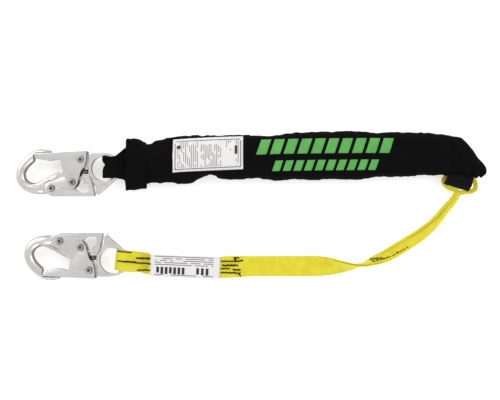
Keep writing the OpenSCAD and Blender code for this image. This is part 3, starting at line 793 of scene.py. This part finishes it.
spring_wire = plated_steel("spring_wire", (0.03, 0.03, 0.03), (0.09, 0.09, 0.09),
                           0.32, 0.5, 0.05 * MM)
for k in "ab":
    for part, finish in (("gate_rivet", rivet_steel), ("lever_rivet", low_rivet_steel),
                         ("lock_pin", rivet_steel)):
        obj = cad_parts[f"hook_{k}_{part}"]
        for place in obj.material_slots:
            place.material = finish
    # for each spring, the point furthest from gate and lever, towards the hook's body, is found,
    # but nothing uses it
    for part, way, kept in (("gate", (1, 0, 0), 0.45),
                            ("lever", (0, 1 if k == "a" else -1, 0), 0.7)):
        spring = node_copy(f"hook_{k}_{part}_spring", f"hook_{k}_{part}_coil")
        spring.data.materials.append(spring_wire)
        shade_smooth(spring)
        held = max((v.co for v in spring.data.vertices), key=Vector(way).dot)
        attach(spring, f"hook_{k}")
        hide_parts(f"hook_{k}_{part}_spring")
        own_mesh(spring)


# ---- hook loop and its wear sleeve ----
# The pack's own black webbing goes round the first hook's eye. A loose tube of the
# cover's cloth protects it, bunches in the eye and spreads into the collar.

HOOK_A_AXIS = np.array([-169.3, 47.9, 10.3])
BLACK_DYE = (0.0006, 0.0006, 0.0007), (0.0038, 0.0038, 0.0042)
black_cloth = woven("black_cloth", *BLACK_DYE, 1.1 * MM, 0.18 * MM, roughness=0.9, sheen=0.0,
                    gloss=0.07, uv=False)
black_webbing = woven("black_webbing", *BLACK_DYE, 1.8 * MM, 0.25 * MM, lean=0.5,
                      roughness=0.8, sheen=0.0, gloss=0.12)

loop_a = Band()
line, side = loop_line(HOOK_A_AXIS + LAID + (0, 1.4, 0), 8.1, 20, (9.6, 11.0), last=62)
loop_a.ply(line, side, 24.0, 25.4, 1.3)
loop_a_strap = loop_a.piece("loop_a_strap", black_webbing)

# x from the axis, height from it, width, shift towards +Y
SLEEVE_ROWS = [
    (23, -4.0, 47, 5.4), (18, -6.2, 46, 5.4), (12.5, -7.6, 41, 5.2), (7, -8.6, 34, 3.6),
    (1, -9.1, 28, 1.6), (-7, -8.8, 26.2, 1.2), (-13, -6.6, 26.2, 1.4), (-16.4, -1.5, 26.6, 1.8),
    (-15.8, 4, 26.8, 2.0), (-11.5, 8.0, 26.8, 1.8), (-4, 9.7, 26.8, 1.6), (2, 10.1, 28.6, 2.2),
    (7.5, 9.9, 34.4, 4.2), (12.5, 9.3, 41, 5.2), (18, 8.4, 46, 5.4), (23, 7.0, 47, 5.4)]
rows = smooth(SLEEVE_ROWS, 6)
sleeve_line = np.stack([rows[:, 0], rows[:, 3], rows[:, 1]], axis=1) + HOOK_A_AXIS + LAID
sleeve = Band()
sleeve.ply(sleeve_line, np.tile([0.0, 1.0, 0.0], (len(rows), 1)), rows[:, 2], 32.0,
           1.5, cells=36)
loop_a_sleeve = sleeve.piece("loop_a_sleeve_cloth", black_cloth)


def ruffled(obj, amount, scale, seed, keep=None):
    """Moves a cloth's points along their normals by soft noise, in millimetres."""
    normals = np.zeros(len(obj.data.vertices) * 3)
    obj.data.vertices.foreach_get("normal", normals)
    normals = normals.reshape(-1, 3)
    for v, n in zip(obj.data.vertices, normals):
        p = v.co / MM
        w = noise.noise(Vector((p.x * scale[0], p.y * scale[1], p.z * scale[2] + seed)))
        share = 1.0 if keep is None else keep(p)
        v.co += Vector(n) * (w * amount * share * MM)


sleeve_mid = HOOK_A_AXIS + LAID
for v in loop_a_sleeve.data.vertices:
    p = v.co / MM - Vector(sleeve_mid)
    # the dip between the two bunched folds, and pleats that run into the collar
    dip = math.exp(-((p.y - 4.6) / 2.6) ** 2) * max(0.0, min(1.0, (-p.x - 7) / 6))
    pleat = math.cos((p.y - 2) * 0.95) * max(0.0, min(1.0, (p.x + 14) / 20))
    v.co.x += 3.4 * dip * MM
    v.co.z += 0.8 * pleat * MM * (1 if p.z > 0 else -0.3)
ruffled(loop_a_sleeve, 0.9, (0.14, 0.16, 0.1), 4.0, lambda p: 1.0 if p.z > 6 else 0.25)
for obj, node, finish in ((loop_a_strap, "loop_a_webbing", "black_webbing"),
                          (loop_a_sleeve, "loop_a_sleeve", "black_cloth")):
    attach(obj, "pack")
    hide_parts(node)


# ---- pack cover ----
# A tube of black cloth over the folded tear webbing. It is soft, puffed up by what
# is in it, creased across, and it folds down at its end where the leg pulls.

COVER_ROWS = [
    (-147, 53, 4, 27.5, 12.5, 10.2), (-136, 54.8, 4, 26.6, 12.7, 10.3),
    (-126, 54.4, 4, 26.4, 13, 11.4), (-116, 55.3, 4, 28, 13.8, 13.2),
    (-104, 56.4, 3.5, 29.4, 14.4, 14.2), (-92, 55.6, 3, 31.4, 14.8, 14.7),
    (-78, 56, 3, 31.6, 14.9, 14.8), (-65, 58.8, 2.5, 29.4, 15, 14.9),
    (-45, 60, 2.2, 28.2, 15, 14.9), (-20, 59.8, 2, 28.8, 15, 14.9),
    (3, 61.4, 1.6, 28.5, 15, 14.9), (28, 60.3, 1.4, 29.3, 15, 14.9),
    (55, 63.1, 1.1, 31, 15, 14.9), (80, 62.7, 0.8, 31.6, 15, 14.9),
    (100, 63.9, 0.6, 30.6, 15, 14.9), (118, 63.9, 0.4, 31.5, 15, 14.9),
    (140, 63.6, 0.2, 30.4, 15, 14.9), (156, 63.9, 0, 28.6, 15, 14.9),
    (176, 65, -0.3, 29.5, 15, 14.9), (205, 65.1, -0.8, 28.2, 14.8, 14.7),
    (228, 64.8, -1.5, 26.9, 14.6, 14.4), (240, 64.1, -3, 26.6, 14.2, 14),
    (251, 63.7, -10, 26, 13.8, 13.4), (260, 60.2, -16, 23.7, 13.2, 12.6),
    (268, 54.8, -20, 19.8, 12.6, 11.6), (276, 49.2, -26, 15.4, 12.2, 10),
    (284, 44.6, -30, 12.2, 12.2, 8.2), (290.6, 41, -32, 8, 12, 5.6),
    (294.6, 38.4, -35, 3.4, 11.4, 2.4)]
ROUND_BOX = 2.6  # 2 is an ellipse, and more is squarer


def cloth_tube(name, rows, around, shrink, material):
    """A closed tube of rounded-box sections. Each row is x, y, heading, half width,
    middle height and half height."""
    points = []
    for x, y, heading, wide, mid, high in rows:
        c, s = math.cos(math.radians(heading)), math.sin(math.radians(heading))
        for k in range(around):
            a = 2 * math.pi * k / around
            ca, sa = math.cos(a), math.sin(a)
            q = wide * shrink * math.copysign(abs(ca) ** (2 / ROUND_BOX), ca)
            h = high * shrink * math.copysign(abs(sa) ** (2 / ROUND_BOX), sa)
            points.append(((x - q * s + LAID[0]) * MM, (y + q * c + LAID[1]) * MM, (mid + h) * MM))
    faces = tube_walls(0, len(rows), around) + tube_ends(0, len(rows), around)
    return new_piece(name, points, faces, material)


AROUND = 44
SIDE_GIVE = 0.2  # the folded webbing inside keeps the cover's width
cover_rows = smooth(COVER_ROWS, 7)
cover = cloth_tube("pack_cover_cloth", cover_rows, AROUND, 0.975, black_cloth)


def puffed(obj, held, swell, most):
    """Blows a cloth up from inside, with held points pinned, for twenty steps. No
    point goes further than most, in millimetres."""
    before = [v.co.copy() for v in obj.data.vertices]
    group = obj.vertex_groups.new(name="held")
    group.add(held, 1.0, "REPLACE")
    cloth = obj.modifiers.new("cloth", "CLOTH")
    cloth.settings.quality = 5
    cloth.settings.mass = 0.25
    cloth.settings.tension_stiffness = 12
    cloth.settings.bending_stiffness = 0.35
    cloth.settings.use_pressure = True
    cloth.settings.uniform_pressure_force = swell
    cloth.settings.shrink_min = -0.05
    cloth.settings.vertex_group_mass = "held"
    cloth.settings.effector_weights.gravity = 0
    cloth.collision_settings.use_collision = False
    scene = bpy.context.scene
    for step in range(1, 21):
        scene.frame_set(step)
    apply_modifiers(obj)
    scene.frame_set(1)
    for v, was in zip(obj.data.vertices, before):
        move = v.co - was
        move.y *= SIDE_GIVE
        if move.length > most * MM:
            v.co = was + move * (most * MM / move.length)
    obj.vertex_groups.clear()


held, points = AROUND * 3, AROUND * len(cover_rows)
puffed(cover, [*range(held), *range(points - held, points)], 4.0, 3.5)
fine = cover.modifiers.new("fine", "SUBSURF")
fine.levels = fine.render_levels = 1
apply_modifiers(cover)
cover.data.materials.clear()
cover.data.materials.append(black_cloth)
# where the cover folds down, where it enters the collar, and its hem's corner
FOLD_X, MOUTH_X, HEM_X = 262, -122, 290.8
normals = [v.normal.copy() for v in cover.data.vertices]
for v, n in zip(cover.data.vertices, normals):
    p = v.co / MM
    near_end = (max(0.0, 1 - abs(p.x - FOLD_X) / 40)
                + 0.6 * max(0.0, 1 - abs(p.x - MOUTH_X) / 26))
    lump = noise.noise(Vector((p.x * 0.030, p.y * 0.012, 1.7))) * 1.0
    crease = noise.noise(Vector((p.x * 0.11 + p.y * 0.035, p.y * 0.028, p.z * 0.03 + 5)))
    crease = -abs(crease) * 1.9 + 0.5
    fan = math.cos((p.x - FOLD_X) * 0.34 + (p.y - 50) * 0.30) * 0.9 * near_end
    v.co += n * ((lump + crease + fan) * MM)
    if p.x > 280 and p.y < 44:
        # the hem's corner stands off from the fold
        v.co.y += 3.2 * math.exp(-((p.x - HEM_X) / 1.9) ** 2) * MM
    v.co.z = max(v.co.z, 0.12 * MM)
shade_smooth(cover)
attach(cover, "pack")
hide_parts("pack_cover", "tear_webbing", "backup_webbing")


# ---- collar ----
# A wider cuff of the same cloth, hemmed at both edges, is sewn over the cover's
# mouth and takes in the sleeve.

COLLAR_ROWS = [
    (-156.1, 53.0, -1, 31.2, 12.6, 11.8), (-155.2, 53.0, -1, 32.3, 12.6, 12.6),
    (-153.2, 53.1, -1, 32.0, 12.6, 12.4), (-151.5, 53.2, -1, 31.6, 12.6, 12.2),
    (-146, 53.6, 0, 32.2, 12.7, 12.6), (-140, 53.8, 0, 31.4, 12.7, 12.5),
    (-136, 53.0, 1, 30.2, 12.9, 12.4), (-133.8, 52.3, 1, 29.4, 12.9, 12.3),
    (-132.2, 52.0, 1, 29.2, 12.9, 12.5), (-131.4, 52.0, 1, 28.2, 12.9, 11.7)]
collar_rows = smooth(COLLAR_ROWS, 4)
collar = cloth_tube("pack_collar_cloth", collar_rows, 72, 1.0, black_cloth)
reworked(collar.data, lambda work: bmesh.ops.delete(
    work, geom=[f for f in work.faces if len(f.verts) > 4], context="FACES_ONLY"))
wall = collar.modifiers.new("wall", "SOLIDIFY")
wall.thickness = 1.3 * MM
wall.offset = -1
apply_modifiers(collar)
collar.data.materials.clear()
collar.data.materials.append(black_cloth)
ruffled(collar, 1.3, (0.05, 0.07, 0.09), 9.0)
for v in collar.data.vertices:
    v.co.z = max(v.co.z, 0.1 * MM)
flush(collar)
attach(collar, "pack")
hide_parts("pack_collar")


# ---- end loop ----
# A black webbing loop comes out of the cover's folded end, and the leg's eye hangs
# in it.

END_EYE = np.array([262.6, 32.9, 12.0])
END_TURN = -17
END_W = 33.0
END_R = 8.4
turns = [math.radians(a) for a in range(100, 261, 10)]
end_line = [(0, 19.5, 0.9), (0, 11.5, 4.6)]
end_line += [(0, END_R * math.cos(a), END_R * math.sin(a)) for a in turns]
end_line += [(0, 11.5, -4.6), (0, 19.5, -0.9)]
end_line = smooth(end_line, 3) @ spun(END_TURN) + END_EYE + LAID
end = Band()
end.ply(end_line, np.tile(spun(END_TURN)[0], (len(end_line), 1)), END_W, END_W, PLY, cells=24)
end_loop = end.piece("end_loop_strap", black_webbing)
ruffled(end_loop, 0.8, (0.12, 0.1, 0.08), 2.0)
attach(end_loop, "pack")
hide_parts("end_loop")


# ---- the cover's sewn label ----
# White printed film in a clear pocket, sewn down all round with black thread. Its
# wording is replaced by rows of plain blocks.

LABEL_X, LABEL_Q = -95.6, -15.8
COVER_LABEL_L, COVER_LABEL_W = 87.0, 40.6
# the line that the label and the print follow, along the cover's middle
MID_LINE = [(-147, 53.0), (-110, 57.1), (-85, 59.0), (-50, 60.8), (-10, 62.4), (40, 63.8),
            (90, 64.6), (140, 65.0), (200, 65.0)]
cover_top = on_top(cover)


def cover_mid(x):
    return float(np.interp(x, *zip(*MID_LINE)))


def laid_sheet(name, x0, x1, q0, q1, lift, thick, material, slant=0.0, cell=2.0):
    """A thin sheet that follows the cover's top, as a closed slab with UV in metres
    from its own middle."""
    nx, nq = max(2, int((x1 - x0) / cell)), max(2, int((q1 - q0) / cell))
    points, uvs, faces = [], [], []
    for up in (0.0, thick):
        for i in range(nx + 1):
            for k in range(nq + 1):
                q = q0 + (q1 - q0) * k / nq
                x = x0 + (x1 - x0) * i / nx + slant * q
                hit, n = cover_top(x + LAID[0], cover_mid(x) + q + LAID[1])
                points.append((hit + n * (lift + up)) * MM)
    side = (nx + 1) * (nq + 1)

    def at(layer, i, k):
        return layer * side + i * (nq + 1) + k

    def uv_of(i, k):
        return (((i / nx - 0.5) * (x1 - x0)) * MM, ((k / nq - 0.5) * (q1 - q0)) * MM)

    for i in range(nx):
        for k in range(nq):
            ways = ((i, k), (i + 1, k), (i + 1, k + 1), (i, k + 1))
            for layer in (0, 1):
                faces.append([at(layer, *w) for w in ways])
                uvs.append([uv_of(*w) for w in ways])
    border = ([(i, 0) for i in range(nx)] + [(nx, k) for k in range(nq)]
              + [(i, nq) for i in range(nx, 0, -1)] + [(0, k) for k in range(nq, 0, -1)])
    for a, b in zip(border, border[1:] + border[:1]):
        faces.append([at(0, *a), at(0, *b), at(1, *b), at(1, *a)])
        uvs.append([uv_of(*a), uv_of(*b), uv_of(*b), uv_of(*a)])
    return new_piece(name, points, faces, material, uvs)


PATCHES = [
    (-45, -38.5, -21, 21, WHITE), (38.5, 45, -21, 21, WHITE), (-45, 45, 15.6, 21, WHITE),
    (-45, 45, -21, -15.6, WHITE), (-12.4, -9.6, -17, 17, WHITE), (-10, 18, 12, 17, WHITE),
    (17.4, 22.4, -17, 17, WHITE), (22, 31, -15, 3, WHITE), (33, 36.4, -1, 9, BLACK_INK),
    (30, 33, -17, 17, WHITE), (-38.5, -33.5, 8, 12, BLACK_INK)]
GREY_INK = (0.24, 0.23, 0.24)
cover_film = printed_film("cover_label_film", WHITE, GREY_INK, 2.4 * MM, PATCHES, upright=True)
cover_label = laid_sheet("cover_label_sheet", LABEL_X, LABEL_X + COVER_LABEL_L, LABEL_Q,
                         LABEL_Q + COVER_LABEL_W, 0.25, 0.45, cover_film)
STITCH, GAP, EDGE, LABEL_THREAD = 2.5, 0.5, 3.0, 1.1


def stitch_starts(start, stop):
    """Where each stitch of a straight seam starts."""
    made = []
    while start < stop - STITCH:
        made.append(start)
        start += STITCH + GAP
    return made


x0, x1 = LABEL_X + EDGE, LABEL_X + COVER_LABEL_L - EDGE
q0, q1 = LABEL_Q + EDGE, LABEL_Q + COVER_LABEL_W - EDGE
frame_rows = [(x, q, x + STITCH, q) for q in (q0, q1) for x in stitch_starts(x0, x1)]
frame_rows += [(x, q, x, q + STITCH) for x in (x0, x1) for q in stitch_starts(q0, q1)]
label_top = on_top(cover_label)
placed = [(a + LAID[0], cover_mid(a) + b + LAID[1], c + LAID[0], cover_mid(c) + d + LAID[1])
          for a, b, c, d in frame_rows]
label_thread = threads("cover_label_stitches", sewn(label_top, placed), black_thread, LABEL_THREAD)
for obj, node, finish in ((cover_label, "cover_label", "label_film"),
                          (label_thread, "cover_label_thread", "black_thread")):
    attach(obj, "pack")
    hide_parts(node)


# ---- green transfer print ----
# Blocks of green heat-transfer film are ironed on the cover. They are plain leaning
# blocks, in two rows, with no letters.

LEAF, GRASS = (0.06, 0.30, 0.045), (0.11, 0.46, 0.09)
green_film, nodes, links, shader = new_material("green_film", (0.08, 0.40, 0.06), 0.6)
place = nodes.new("ShaderNodeTexCoord").outputs["Object"]
weave = placed_group(nodes, links, WEAVE, place, Pitch=1.1 * MM)
links.new(mix_node(nodes, links, weave["Shade"], LEAF, GRASS), shader.inputs["Base Color"])
bumped(nodes, links, shader, weave["Height"], 1.0, 0.12 * MM)

SLANT = 0.35
# each block's start, width, and lower and upper edge
blocks = [(7 + i * 16.9, 12.6, 1.5, 20) for i in range(10)]
blocks += [(34 + i * 13.2, 9.4, -19.4, -6.6) for i in range(10)]
joined = bmesh.new()
for i, (x, wide, q0, q1) in enumerate(blocks):
    block = laid_sheet(f"print_{i}", x, x + wide, q0, q1, 0.1, 0.25, green_film, SLANT, 1.8)
    joined.from_mesh(block.data)
    bpy.data.objects.remove(block)
print_mesh = bpy.data.meshes.new("cover_print_blocks")
joined.to_mesh(print_mesh)
joined.free()
print_mesh.materials.append(green_film)
cover_print = added("cover_print_blocks", print_mesh)
shade_smooth(cover_print)
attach(cover_print, "pack")
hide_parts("cover_print")


# ---- table and light ----
# A plain pale table, a wide soft light overhead and bright even surroundings.

REACH, TABLE_Z = 3.0, -0.2 * MM
table_mesh = bpy.data.meshes.new("table")
corners = [(x * REACH, y * REACH, TABLE_Z) for x, y in ((-1, -1), (1, -1), (1, 1), (-1, 1))]
table_mesh.from_pydata(corners, [], [(0, 1, 2, 3)])
table = added("table", table_mesh)
pale, _, _, shader = new_material("table_top", (0.92, 0.92, 0.92), 0.9)
shader.inputs["Emission Color"].default_value = (1, 1, 1, 1)
shader.inputs["Emission Strength"].default_value = 0.42
table_mesh.materials.append(pale)

world = bpy.data.worlds.new("surroundings")
bpy.context.scene.world = world
world.use_nodes = True
world.node_tree.nodes["Background"].inputs["Color"].default_value = (1, 1, 1, 1)
world.node_tree.nodes["Background"].inputs["Strength"].default_value = 0.72
LAMP_SIZE = 0.9
for name, at, power in (("left", (-1.1, 0.9, 0.95), 10.0), ("right", (1.2, 0.6, 1.0), 6.5),
                        ("near", (0.1, -1.4, 1.0), 6.5)):
    lamp = bpy.data.lights.new(name, "AREA")
    lamp.size = LAMP_SIZE
    lamp.energy = power
    light = added(name, lamp)
    light.location = at
    light.rotation_euler = Vector(at).to_track_quat("Z", "Y").to_euler()
bpy.context.scene.view_settings.view_transform = "Standard"
